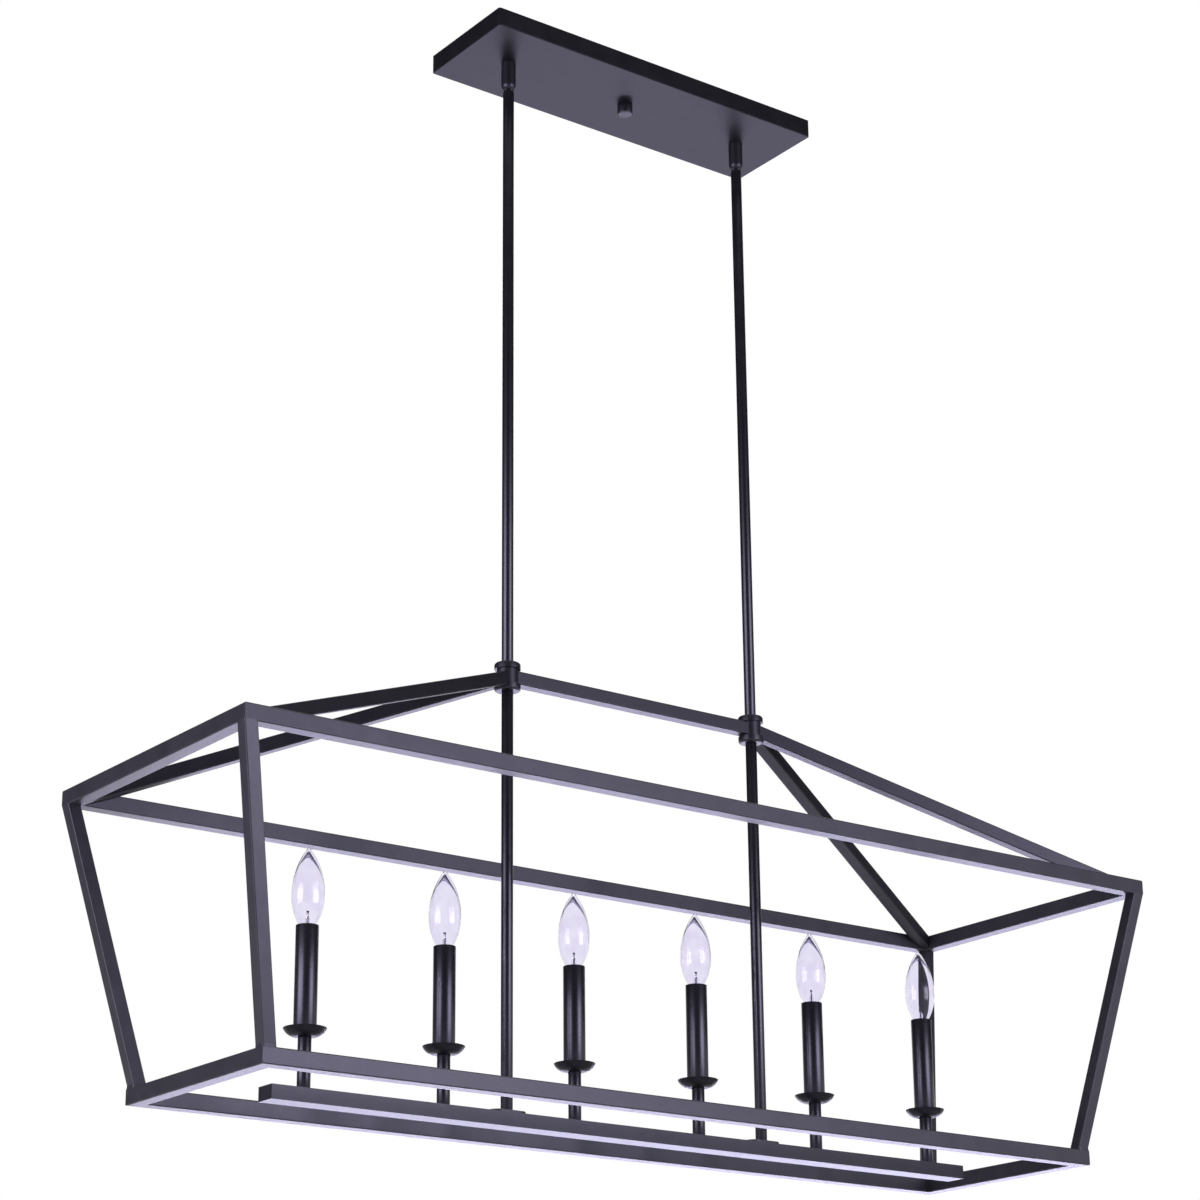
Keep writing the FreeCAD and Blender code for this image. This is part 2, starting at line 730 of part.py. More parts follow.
def make_ground_lead():
    """Green wire from the terminal block to a ring under the strap's screw."""
    wire_z = -strap_thickness - ground_wire_gap - ground_wire_diameter / 2
    start_y = ground_head_diameter / 2 + ground_wire_gap
    block_middle = -block_left + block_length / 2
    route = [V(ground_x, start_y, wire_z), V(ground_x, ground_reach, wire_z),
             V(block_middle, ground_reach, lead_level), V(block_middle, block_width / 2, lead_level)]
    ring_bottom = -strap_thickness - ground_ring_thickness
    ring = disc(ground_ring_diameter / 2, ring_bottom, -strap_thickness, ground_x)
    ring = ring.cut(disc(ground_screw_diameter / 2 + screw_fit, ring_bottom, -strap_thickness, ground_x))
    return ring.fuse(lead(route, ground_bend_r, ground_wire_diameter))


def make_ground_screw():
    head_top = -strap_thickness - ground_ring_thickness
    head_bottom = head_top - ground_head_height
    head = hexagon(ground_head_diameter * math.cos(math.radians(30)), head_bottom, head_top)
    screw = head.fuse(disc(ground_screw_diameter / 2, head_top, 0))
    return screw.translated(V(ground_x, 0, 0))


def make_terminal_block():
    """Two-pole block on the canopy's floor, with two screw wells for each pole."""
    right = -block_left + block_length
    half_width = block_width / 2
    body = block(-block_left, right, -half_width, half_width, canopy_floor, block_top)
    well_bottom = block_top - block_well_depth
    body = body.cut(block(-block_left, right, -block_groove / 2, block_groove / 2, well_bottom, block_top))
    for x in (-block_left + block_length / 4, right - block_length / 4):
        for y in (-half_width / 2, half_width / 2):
            body = body.cut(disc(block_well_diameter / 2, well_bottom, block_top, x, y))
    return body


supply_route = [V(-rod_x, 0, pivot_z + pivot_gap), V(-rod_x, 0, lead_level), V(-block_left, 0, lead_level)]
parts["terminal_block"] = make_terminal_block()
parts["supply_lead"] = lead(supply_route, lead_bend_r, lead_diameter)
parts["ground_lead"] = make_ground_lead()
parts["ground_screw"] = make_ground_screw()
parts["lantern_wiring"] = make_lantern_wiring()

# ---------------------------------------------------------------- files
os.makedirs("parts", exist_ok=True)
for name, shape in parts.items():
    shape.exportStep("parts/%s.step" % name)
print(len(parts), "nodes", sum(len(shape.Solids) for shape in parts.values()), "solids")
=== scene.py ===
import json
import math
import bmesh
import bpy
from mathutils import Matrix, Vector


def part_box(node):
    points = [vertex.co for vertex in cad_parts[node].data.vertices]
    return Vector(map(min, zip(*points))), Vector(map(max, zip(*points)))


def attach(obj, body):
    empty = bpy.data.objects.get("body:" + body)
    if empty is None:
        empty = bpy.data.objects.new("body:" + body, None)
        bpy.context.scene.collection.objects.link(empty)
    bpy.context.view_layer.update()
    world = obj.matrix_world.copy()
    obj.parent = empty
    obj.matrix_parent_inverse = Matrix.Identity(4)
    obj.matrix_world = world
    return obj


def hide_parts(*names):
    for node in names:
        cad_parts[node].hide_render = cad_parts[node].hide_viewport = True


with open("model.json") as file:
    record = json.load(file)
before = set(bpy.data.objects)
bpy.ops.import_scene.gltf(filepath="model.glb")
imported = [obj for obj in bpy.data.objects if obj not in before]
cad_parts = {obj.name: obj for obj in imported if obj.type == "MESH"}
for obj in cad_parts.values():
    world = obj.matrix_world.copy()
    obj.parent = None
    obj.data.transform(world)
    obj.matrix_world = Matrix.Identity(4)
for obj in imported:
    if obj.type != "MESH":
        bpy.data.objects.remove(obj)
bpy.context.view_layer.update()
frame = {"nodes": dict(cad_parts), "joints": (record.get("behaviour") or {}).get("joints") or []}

# ---------------------------------------------------------------- canopy
# A shallow tray of 1.2 mm sheet steel, folded and spot-welded at its corners, open towards the
# ceiling. It is powder coated satin black, a polyester coat with a violet cast in its sheen.

MM = 0.001


def linear(hex_colour):
    """An sRGB hex colour as linear RGBA."""
    channels = [int(hex_colour[i:i + 2], 16) / 255 for i in (1, 3, 5)]
    return [c / 12.92 if c <= 0.04045 else ((c + 0.055) / 1.055) ** 2.4 for c in channels] + [1.0]


def add_node(tree, kind, settings, inputs):
    """Adds one node. Settings are its properties, and an input is a value or a node's socket."""
    node = tree.nodes.new(kind)
    for key, value in settings.items():
        setattr(node, key, value)
    for key, value in inputs.items():
        if isinstance(value, bpy.types.NodeSocket):
            tree.links.new(value, node.inputs[key])
        else:
            node.inputs[key].default_value = value
    return node


def start_material(name):
    """An empty node material, with its tree, its shader and its object coordinates."""
    material = bpy.data.materials.new(name)
    material.use_nodes = True
    tree = material.node_tree
    tree.nodes.clear()
    shader = add_node(tree, "ShaderNodeBsdfPrincipled", {}, {})
    add_node(tree, "ShaderNodeOutputMaterial", {}, {"Surface": shader.outputs["BSDF"]})
    coordinates = add_node(tree, "ShaderNodeTexCoord", {}, {}).outputs["Object"]
    return material, tree, shader, coordinates


def plain_finish(name, dark, light, cloud_mm, mark_mm, smooth, rough, depth_mm, detail, constants):
    """A finish whose colour drifts between two hex values in clouds, and whose roughness and
    height follow marks. The constants are set on the shader's own sockets."""
    material, tree, shader, coordinates = start_material(name)
    cloud = add_node(tree, "ShaderNodeTexNoise", {}, {
        "Vector": coordinates, "Scale": 1 / (cloud_mm * MM), "Detail": detail})
    spread = add_node(tree, "ShaderNodeMapRange", {}, {
        "Value": cloud.outputs["Fac"], "From Min": 0.35, "From Max": 0.65})
    colour = add_node(tree, "ShaderNodeMix", {"data_type": "RGBA"}, {
        "Factor": spread.outputs["Result"], 6: linear(dark), 7: linear(light)})
    marks = add_node(tree, "ShaderNodeTexNoise", {}, {
        "Vector": coordinates, "Scale": 1 / (mark_mm * MM), "Detail": detail})
    roughness = add_node(tree, "ShaderNodeMapRange", {}, {
        "Value": marks.outputs["Fac"], "From Min": 0.3, "From Max": 0.7,
        "To Min": smooth, "To Max": rough})
    bump = add_node(tree, "ShaderNodeBump", {}, {
        "Height": marks.outputs["Fac"], "Distance": depth_mm * MM, "Strength": 1.0})
    tree.links.new(colour.outputs[2], shader.inputs["Base Color"])
    tree.links.new(roughness.outputs["Result"], shader.inputs["Roughness"])
    tree.links.new(bump.outputs["Normal"], shader.inputs["Normal"])
    for socket, value in constants.items():
        shader.inputs[socket].default_value = value
    return material


def powder_coat(name, dark, light, smooth, rough, gloss, peel_mm=0.012):
    """Polyester powder coat: an even satin film that mirrors softly, with a violet cast. Its
    orange peel is about 1.5 mm across and peel_mm deep, and rougher where it stands up."""
    return plain_finish(name, dark, light, 24.0, 1.5, smooth, rough, peel_mm, 2.0, {
        "IOR": 1.5, "Specular IOR Level": gloss, "Specular Tint": linear("#E8E3FF")})


def dress(node, material):
    """Gives a CAD node its finish."""
    target = frame["nodes"][node]
    target.data.materials.clear()
    target.data.materials.append(material)


# Folded sheet takes the thickest and dullest film, and turned steel a tighter one. The same coat
# on sheet is also painted darker, as painted shade on the canopy and the drip cups.
sheet_black_painted_darker = powder_coat("satin_black_coat_on_sheet_painted_darker", "#111015", "#16151A", 0.38, 0.44, 0.22)
satin_black = powder_coat("satin_black_coat_on_turned_steel", "#141318", "#19181D",
                          0.36, 0.42, 0.5)
# The canopy wears the coat painted darker, as painted shade.
dress("canopy_pan", sheet_black_painted_darker)

# ---------------------------------------------------------------- ceiling strap, pipes and nuts
# The strap is punched from 2.5 mm steel and screws to the ceiling box. The canopy and the two
# swivels hang on threaded lamp pipe with hexagon locknuts. All of it is bright zinc plate.

PIPE_PITCH = 0.94


def zinc_plate(name):
    """Zinc plate: a pale blue-grey metal with the faint cloudy spangle of barrel plating."""
    return plain_finish(name, "#A9ABAD", "#C2C3C2", 3.0, 3.0, 0.26, 0.42, 0.01, 4.0,
                        {"Metallic": 1.0})


def threaded_zinc(name):
    """Zinc plate over rolled threads, drawn as bands one thread pitch apart along the pipe. The
    thread roots are painted darker than the crests, as painted shade in the grooves.
    """
    material, tree, shader, coordinates = start_material(name)
    bands = add_node(tree, "ShaderNodeTexWave", {"wave_type": "BANDS", "bands_direction": "Z"}, {
        "Vector": coordinates, "Scale": math.pi / (10 * PIPE_PITCH * MM), "Distortion": 0.0})
    spread = add_node(tree, "ShaderNodeMapRange", {}, {
        "Value": bands.outputs["Fac"], "From Min": 0.35, "From Max": 0.65})
    # Darker where the bands are low: painted shade in the thread roots.
    colour = add_node(tree, "ShaderNodeMix", {"data_type": "RGBA"}, {
        "Factor": spread.outputs["Result"], 6: linear("#8E9092"), 7: linear("#C2C3C2")})
    bump = add_node(tree, "ShaderNodeBump", {}, {
        "Height": bands.outputs["Fac"], "Distance": 0.4 * MM, "Strength": 1.0})
    tree.links.new(colour.outputs[2], shader.inputs["Base Color"])
    tree.links.new(bump.outputs["Normal"], shader.inputs["Normal"])
    shader.inputs["Metallic"].default_value = 1.0
    shader.inputs["Roughness"].default_value = 0.34
    return material


zinc = zinc_plate("bright_zinc_plate")
threads = threaded_zinc("zinc_plated_pipe_thread")
for node in ("ceiling_strap", "canopy_nuts", "bar_nuts"):
    dress(node, zinc)
for node in ("canopy_nipples", "threaded_nipples"):
    dress(node, threads)

# ---------------------------------------------------------------- finial
# A cap nut turned from bar and coated like the canopy. It screws onto the centre pipe and holds
# the canopy against the ceiling.

ROUND = 72


def draw(points):
    """A new mesh with one open outline of (radius, height) points in millimetres."""
    bm = bmesh.new()
    last = None
    for radius, height in points:
        vert = bm.verts.new((radius * MM, 0, height * MM))
        if last:
            bm.edges.new((last, vert))
        last = vert
    return bm, last


def draw_line(bm, last, radius, height):
    """Goes on with a straight line, and returns its end."""
    vert = bm.verts.new((radius * MM, 0, height * MM))
    bm.edges.new((last, vert))
    return vert


def draw_arc(bm, last, centre, degrees, steps):
    """Goes on with an arc about a (radius, height) centre, and returns its end."""
    arc = bmesh.ops.spin(bm, geom=[last], cent=(centre[0] * MM, 0, centre[1] * MM), axis=(0, 1, 0),
                         angle=math.radians(degrees), steps=steps)
    return [g for g in arc["geom_last"] if isinstance(g, bmesh.types.BMVert)][0]


def close_outline(bm, last):
    """Joins the end of the outline to its start, and returns the mesh."""
    bm.verts.ensure_lookup_table()
    bm.edges.new((last, bm.verts[0]))
    return bm


def turn(bm, x=0.0, y=0.0, steps=ROUND):
    """Spins the outline a full turn about Z, then moves it to its place."""
    bmesh.ops.spin(bm, geom=list(bm.verts) + list(bm.edges), cent=(0, 0, 0), axis=(0, 0, 1),
                   angle=math.tau, steps=steps, use_merge=True)
    bmesh.ops.remove_doubles(bm, verts=bm.verts, dist=1e-6)
    loose = [e for e in bm.edges if not e.link_faces]
    bmesh.ops.delete(bm, geom=loose, context="EDGES")
    bmesh.ops.recalc_face_normals(bm, faces=bm.faces)
    bmesh.ops.translate(bm, verts=bm.verts, vec=(x * MM, y * MM, 0))
    return bm


def soften(bm, width_mm, segments=2, from_degrees=30):
    """Bevels the edges that are sharper than an angle."""
    limit = math.radians(from_degrees)
    sharp = [e for e in bm.edges if e.is_manifold and e.calc_face_angle() > limit]
    bmesh.ops.bevel(bm, geom=sharp, offset=width_mm * MM, offset_type="OFFSET", affect="EDGES",
                    segments=segments, profile=0.5, material=-1)


def add_piece(name, bm, body, material, slot, *replaced):
    """Makes the mesh a piece that rides on a body and stands for the named CAD nodes, if any."""
    mesh = bpy.data.meshes.new(name)
    bm.to_mesh(mesh)
    bm.free()
    mesh.polygons.foreach_set("use_smooth", [True] * len(mesh.polygons))
    mesh.set_sharp_from_angle(angle=math.radians(32))
    mesh.materials.append(material)
    piece = bpy.data.objects.new(name, mesh)
    bpy.context.scene.collection.objects.link(piece)
    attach(piece, body)
    if replaced:
        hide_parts(*replaced)
    return piece


def span(node):
    """A CAD node's lowest and highest corners in millimetres."""
    low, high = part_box(node)
    return low / MM, high / MM


PIPE_HOLE_R = 4.85
FINIAL_FLOOR = 3.0
FINIAL_EDGE = 1.1
finial_low, finial_high = span("finial")
finial_r = finial_high.x
finial_floor = finial_low.z + FINIAL_FLOOR
cap, _ = draw([(0, finial_low.z), (finial_r, finial_low.z), (finial_r, finial_high.z),
               (PIPE_HOLE_R, finial_high.z), (PIPE_HOLE_R, finial_floor), (0, finial_floor)])
turn(cap)
soften(cap, FINIAL_EDGE, 3, 60)
add_piece("finial_cap", cap, "canopy", satin_black, "satin_black", "finial")

# ---------------------------------------------------------------- ball swivels
# Each rod hangs on a ball in a turned steel sleeve under the canopy, so that it stays plumb. The
# sleeve's mouth is a cone, and the ball's neck screws into the rod. Coated satin black.

ROD_XS = (-160.0, 160.0)
SIDES = ("left", "right")
swivel_low, swivel_high = span("swivel_bodies")
PIVOT_Z = frame["joints"][0]["pos_m"][2] / MM
SWIVEL_R = (swivel_high.y - swivel_low.y) / 2
CAVITY_R = 6.4
MOUTH_DEG = -36.6
swivel_pipe_foot = span("canopy_nipples")[0].z


def swivel_sleeve():
    """A tube that is round at its foot, with a cone for the neck and a round seat for the ball."""
    bm, end = draw([(PIPE_HOLE_R, swivel_high.z), (SWIVEL_R, swivel_high.z), (SWIVEL_R, PIVOT_Z)])
    end = draw_arc(bm, end, (0, PIVOT_Z), -MOUTH_DEG, 10)
    mouth = math.radians(MOUTH_DEG)
    end = draw_line(bm, end, CAVITY_R * math.cos(mouth), PIVOT_Z + CAVITY_R * math.sin(mouth))
    end = draw_arc(bm, end, (0, PIVOT_Z), MOUTH_DEG, 8)
    end = draw_line(bm, end, CAVITY_R, swivel_pipe_foot)
    end = draw_line(bm, end, PIPE_HOLE_R, swivel_pipe_foot)
    return close_outline(bm, end)


for side, x in zip(SIDES, ROD_XS):
    add_piece("swivel_sleeve_" + side, turn(swivel_sleeve(), x), "canopy", satin_black,
              "satin_black", "swivel_bodies")
dress("swivel_balls", satin_black)

# ---------------------------------------------------------------- canopy wiring
# The black supply lead comes up through the left swivel to a two-pole nylon block, and a green
# lead goes on to a ring under the green screw of the strap. PVC insulation, extruded smooth.


def extruded_plastic(name, dark, light):
    """Extruded or moulded plastic: an even colour, a slight gloss and faint draw marks."""
    return plain_finish(name, dark, light, 1.2, 1.2, 0.38, 0.5, 0.01, 2.0, {})


black_insulation = extruded_plastic("black_pvc_insulation", "#161617", "#1E1E20")
green_insulation = extruded_plastic("green_pvc_insulation", "#1C6B33", "#237A3C")
nylon = extruded_plastic("natural_nylon", "#CFCBBD", "#DAD7CB")
green_zinc = zinc_plate("green_passivated_steel")
dress("supply_lead", black_insulation)
dress("lantern_wiring", black_insulation)
dress("ground_lead", green_insulation)
dress("terminal_block", nylon)
dress("ground_screw", green_zinc)

# ---------------------------------------------------------------- rods
# Four straight lengths of 12 mm steel tube, faced at their ends and coated satin black. The tube
# is drawn, so the film over it is smoother than on the folded canopy.

TUBE_PEEL = 0.004
TUBE_EDGE = 0.35
satin_tube = powder_coat("satin_black_coat_on_drawn_tube", "#141318", "#19181D",
                         0.27, 0.31, 0.5, TUBE_PEEL)
ROD_BORE = 4.85


def tube_piece(name, low, high, outer, bore, x, replaced):
    """An upright round tube of the lantern, broken slightly at its edges."""
    bm = close_outline(*draw([(bore, low), (outer, low), (outer, high), (bore, high)]))
    turn(bm, x)
    soften(bm, TUBE_EDGE)
    add_piece(name, bm, "lantern", satin_tube, "satin_black", replaced)


for part in ("upper", "lower"):
    for side, x in zip(SIDES, ROD_XS):
        node = part + "_rod_" + side
        low, high = span(node)
        tube_piece(node + "_tube", low.z, high.z, (high.x - low.x) / 2, ROD_BORE, x, node)

# ---------------------------------------------------------------- hubs
# A turned steel spool on each rod line. The rods butt on its two thick discs, and the ridge bar
# and the roof braces are welded to the body between them. Coated with the cage.

hub_low, hub_high = span("hubs")
HUB_DISC_R = hub_high.y
HUB_BODY_R = 11.0
HUB_DISC = 7.0
HUB_ROUND = 2.6


def hub_spool():
    """The spool's outline, with the outer rims of both discs rounded."""
    waist_low = hub_low.z + HUB_DISC
    waist_high = hub_high.z - HUB_DISC
    bm, end = draw([(ROD_BORE, hub_low.z), (HUB_DISC_R, hub_low.z), (HUB_DISC_R, waist_low),
                    (HUB_BODY_R, waist_low), (HUB_BODY_R, waist_high), (HUB_DISC_R, waist_high),
                    (HUB_DISC_R, hub_high.z), (ROD_BORE, hub_high.z)])
    close_outline(bm, end)
    rims = [bm.verts[1], bm.verts[6]]
    bmesh.ops.bevel(bm, geom=rims, offset=HUB_ROUND * MM, offset_type="OFFSET",
                    affect="VERTICES", segments=6, profile=0.5, material=-1)
    return bm


for side, x in zip(SIDES, ROD_XS):
    add_piece("hub_" + side, turn(hub_spool(), x), "lantern", satin_black, "satin_black", "hubs")

# ---------------------------------------------------------------- cage
# Square steel tube, mitred into two rectangles and joined by leaning corner posts, four roof
# braces and a ridge bar. The welds are ground flush, and the whole cage is coated satin black.

# The same coat is painted greyer on the rails, posts, welds and socket bar than on the rafters,
# ridge and round steel, as painted light on their lit faces.
black_coat_painted_lighter = powder_coat("satin_black_coat_painted_lighter", "#232228", "#2A292F",
                         0.36, 0.44, 0.5)
for side in ("front", "left", "rear", "right"):
    dress("upper_rail_" + side, black_coat_painted_lighter)
    dress("lower_rail_" + side, black_coat_painted_lighter)
for corner in ("front_left", "front_right", "rear_left", "rear_right"):
    dress("post_" + corner, black_coat_painted_lighter)
    dress("rafter_" + corner, satin_black)
dress("ridge_bar", satin_black)

BRACE = 14.0
POST_INSET = 0.8
HEAD_WELD = 1.5
FOOT_WELD = 2.5
FOOT_SINK = 1.0
WELD_ROUND = 1.2
PROUD = 0.03
post_low, post_high = span("post_front_left")
rail_low = span("lower_rail_front")[0]
HEAD_X, HEAD_Y = -post_low.x, -post_low.y
RAIL_X, RAIL_Y = -rail_low.x, -rail_low.y
FOOT_X, FOOT_Y = RAIL_X - POST_INSET, RAIL_Y - POST_INSET
LEAN_X = (HEAD_X - FOOT_X) / (post_high.z - post_low.z)
LEAN_Y = (HEAD_Y - FOOT_Y) / (post_high.z - post_low.z)


def weld_block(target, x_sign, y_sign, low, high):
    """A ground weld that fills the groove where a post meets a rail. Low and high are its two
    level ends: the outer corner's X and Y, and the height."""
    bm = bmesh.new()
    bmesh.ops.create_cube(bm, size=1.0)
    for vert in bm.verts:
        outer_x, outer_y, z = high if vert.co.z > 0 else low
        x = outer_x if vert.co.x > 0 else outer_x - BRACE - PROUD
        y = outer_y if vert.co.y > 0 else outer_y - BRACE - PROUD
        vert.co = (x * MM, y * MM, z * MM)
    upright = [e for e in bm.edges if abs(e.verts[0].co.z - e.verts[1].co.z) > 0.5 * MM]
    bmesh.ops.bevel(bm, geom=upright, offset=WELD_ROUND * MM, offset_type="OFFSET",
                    affect="EDGES", segments=4, profile=0.5, material=-1)
    bmesh.ops.scale(bm, verts=bm.verts, vec=(x_sign, y_sign, 1))
    bmesh.ops.recalc_face_normals(bm, faces=bm.faces)
    block = bpy.data.meshes.new("weld_block")
    bm.to_mesh(block)
    bm.free()
    target.from_mesh(block)
    bpy.data.meshes.remove(block)


heads = bmesh.new()
feet = bmesh.new()
for x_sign in (-1, 1):
    for y_sign in (-1, 1):
        weld_block(heads, x_sign, y_sign,
                   (HEAD_X - LEAN_X * HEAD_WELD + PROUD, HEAD_Y - LEAN_Y * HEAD_WELD + PROUD,
                    post_high.z - HEAD_WELD),
                   (HEAD_X - PROUD, HEAD_Y - PROUD, post_high.z + HEAD_WELD))
        weld_block(feet, x_sign, y_sign,
                   (RAIL_X - PROUD, RAIL_Y - PROUD, post_low.z - FOOT_SINK),
                   (FOOT_X + LEAN_X * FOOT_WELD + PROUD, FOOT_Y + LEAN_Y * FOOT_WELD + PROUD,
                    post_low.z + FOOT_WELD))
add_piece("post_head_welds", heads, "lantern", black_coat_painted_lighter, "satin_black")
add_piece("post_foot_welds", feet, "lantern", black_coat_painted_lighter, "satin_black")

# ---------------------------------------------------------------- socket bar
# A shallow channel of 1.2 mm sheet with closed ends and a flat cover held by three screws. It
# carries the six lamps and hides their wiring. The rods land on round-ended plates on its top.

# The socket bar wears the coat painted greyer, as painted light.
for node in ("socket_bar", "bar_cover", "rod_plates"):
    dress(node, black_coat_painted_lighter)
dress("cover_screws", satin_black)

# ---------------------------------------------------------------- candle lamps
# Each lamp stands on a 13 mm tube with a spun drip cup. A straight steel sleeve drops over the
# socket onto the cup, like a candle. Everything that shows is coated satin black.

LAMP_COUNT = 6
stem_low, stem_high = span("candle_stems")
cup_low, cup_high = span("drip_cups")
sleeve_low, sleeve_high = span("candle_sleeves")
STEM_R = stem_high.y
CUP_R = cup_high.y
SLEEVE_R = sleeve_high.y
SLEEVE_TOP = sleeve_high.z
SPACING = (stem_high.x - stem_low.x - 2 * STEM_R) / (LAMP_COUNT - 1)
LAMP_XS = [SPACING * (i - (LAMP_COUNT - 1) / 2) for i in range(LAMP_COUNT)]
SLEEVE_WALL = 0.9
CUP_FOOT_R = 8.0
CUP_SHEET = 1.0
CUP_RIM_DEG = 1.5


def drip_cup():
    """A dish whose wall is one arc from the foot to a thin rim."""
    rise = cup_high.z - cup_low.z
    spread = CUP_R - CUP_FOOT_R
    curve = (spread ** 2 + rise ** 2) / (2 * rise)
    centre = (CUP_FOOT_R, cup_low.z + curve)
    sweep = math.degrees(math.asin(spread / curve))
    inner = curve - CUP_SHEET
    seat = sleeve_low.z
    seat_angle = math.degrees(math.acos((centre[1] - seat) / inner))
    bm, end = draw([(ROD_BORE, cup_low.z), (CUP_FOOT_R, cup_low.z)])
    end = draw_arc(bm, end, centre, -sweep, 16)
    lean = math.radians(sweep - CUP_RIM_DEG)
    end = draw_line(bm, end, centre[0] + inner * math.sin(lean),
                    centre[1] - inner * math.cos(lean))
    end = draw_arc(bm, end, centre, sweep - CUP_RIM_DEG - seat_angle, 14)
    end = draw_line(bm, end, ROD_BORE, seat)
    return close_outline(bm, end)


for number, x in enumerate(LAMP_XS, 1):
    tube_piece("stem_%d" % number, stem_low.z, stem_high.z, STEM_R, ROD_BORE, x, "candle_stems")
    # The cups wear the coat painted darker, as painted shade.
    add_piece("cup_%d" % number, turn(drip_cup(), x), "lantern", sheet_black_painted_darker, "satin_black",
              "drip_cups")
    tube_piece("sleeve_%d" % number, sleeve_low.z, sleeve_high.z, SLEEVE_R,
               SLEEVE_R - SLEEVE_WALL, x, "candle_sleeves")

# ---------------------------------------------------------------- sockets
# A phenolic socket with a brass screw shell and a spring contact sits on a zinc-plated bracket
# inside each sleeve. Only its rim can be seen, past the bulb's neck.


def moulded_phenolic(name):
    """Black phenolic resin, moulded, with a dull skin."""
    return plain_finish(name, "#141313", "#1B1919", 2.0, 2.0, 0.5, 0.62, 0.02, 2.0, {})


def drawn_metal(name, dark, light):
    """Thin bright metal, drawn smooth and left without lacquer, with light handling marks."""
    return plain_finish(name, dark, light, 2.0, 2.0, 0.2, 0.34, 0.008, 3.0, {"Metallic": 1.0})


phenolic = moulded_phenolic("black_phenolic")
brass = drawn_metal("plain_drawn_brass", "#B8964F", "#CBA961")
nickel = drawn_metal("nickel_plated_brass", "#AFA99C", "#C4BEB1")
dress("socket_bodies", phenolic)
dress("socket_shells", brass)
dress("socket_contacts", brass)
dress("socket_brackets", zinc)

# ---------------------------------------------------------------- bulbs
# A torpedo bulb of clear blown glass on a small nickel-plated screw base. The envelope ends in a
# solid drawn tip. Inside, a glass mount carries a short coiled filament low in the bulb.

glass_high = span("bulb_1_glass")[1]
base_low, base_high = span("bulb_1_base")
BULB_R = glass_high.y
NECK_R = 8.0
THROAT_R = 6.6
BELLY_Z = SLEEVE_TOP + 29.0
TIP_Z = glass_high.z
TIP_R = 0.4
TIP_CROWN = 0.2
WALL = 0.55
SOLID_TIP = 3.4
CAVITY_TIP_R = 0.9
CAVITY_CROWN = 0.4
THROAT_FLOOR = 0.8
MOUNT_R = 2.4
MOUNT_TIP_R = 0.9
MOUNT_SHOULDER = 6.0
MOUNT_TOP = 9.5


def clear_glass(name):
    """Clear soda-lime glass with the faint waves of blowing and a trace of lavender."""
    material, tree, shader, coordinates = start_material(name)
    waves = add_node(tree, "ShaderNodeTexNoise", {}, {
        "Vector": coordinates, "Scale": 1 / (14.0 * MM), "Detail": 1.0})
    spread = add_node(tree, "ShaderNodeMapRange", {}, {
        "Value": waves.outputs["Fac"], "From Min": 0.35, "From Max": 0.65})
    colour = add_node(tree, "ShaderNodeMix", {"data_type": "RGBA"}, {
        "Factor": spread.outputs["Result"], 6: linear("#EEEBF8"), 7: linear("#F4F2FB")})
    bump = add_node(tree, "ShaderNodeBump", {}, {
        "Height": waves.outputs["Fac"], "Distance": 0.06 * MM, "Strength": 1.0})
    tree.links.new(colour.outputs[2], shader.inputs["Base Color"])
    tree.links.new(bump.outputs["Normal"], shader.inputs["Normal"])
    shader.inputs["Transmission Weight"].default_value = 1.0
    shader.inputs["Roughness"].default_value = 0.0
    shader.inputs["IOR"].default_value = 1.5
    shader.inputs["Specular Tint"].default_value = linear("#8A8A8A")
    return material


def bent_arc(end_r, end_z, belly_r, belly_z):
    """Centre, radius and sweep of the arc that is upright at the belly and ends at a point. The
    sweep is negative where the point lies below the belly."""
    spread = belly_r - end_r
    rise = end_z - belly_z
    curve = (spread ** 2 + rise ** 2) / (2 * spread)
    return (belly_r - curve, belly_z), curve, math.degrees(math.asin(rise / curve))


glass = clear_glass("clear_blown_glass")
UPPER_ARC = bent_arc(TIP_R, TIP_Z - TIP_CROWN, BULB_R, BELLY_Z)
LOWER_ARC = bent_arc(NECK_R, SLEEVE_TOP, BULB_R, BELLY_Z)
UPPER_CAVITY = bent_arc(CAVITY_TIP_R, TIP_Z - SOLID_TIP, BULB_R - WALL, BELLY_Z)
LOWER_CAVITY = bent_arc(NECK_R - WALL, SLEEVE_TOP, BULB_R - WALL, BELLY_Z)


def bulb_envelope():
    """Outer skin from the throat over the belly to the drawn tip."""
    bm, end = draw([(0, base_high.z), (THROAT_R, base_high.z), (NECK_R, SLEEVE_TOP)])
    end = draw_arc(bm, end, LOWER_ARC[0], LOWER_ARC[2], 12)
    end = draw_arc(bm, end, UPPER_ARC[0], -UPPER_ARC[2], 24)
    draw_line(bm, end, 0, TIP_Z)
    return bm


def bulb_cavity():
    """Inner skin: the wall thickens towards the tip, and the glass mount stands up in it."""
    floor = base_high.z + THROAT_FLOOR
    bm, end = draw([(0, SLEEVE_TOP + MOUNT_TOP), (MOUNT_TIP_R, SLEEVE_TOP + MOUNT_TOP),
                    (MOUNT_R, SLEEVE_TOP + MOUNT_SHOULDER), (MOUNT_R, floor),
                    (THROAT_R - WALL, floor), (NECK_R - WALL, SLEEVE_TOP)])
    end = draw_arc(bm, end, LOWER_CAVITY[0], LOWER_CAVITY[2], 12)
    end = draw_arc(bm, end, UPPER_CAVITY[0], -UPPER_CAVITY[2], 24)
    draw_line(bm, end, 0, TIP_Z - SOLID_TIP + CAVITY_CROWN)
    return bm


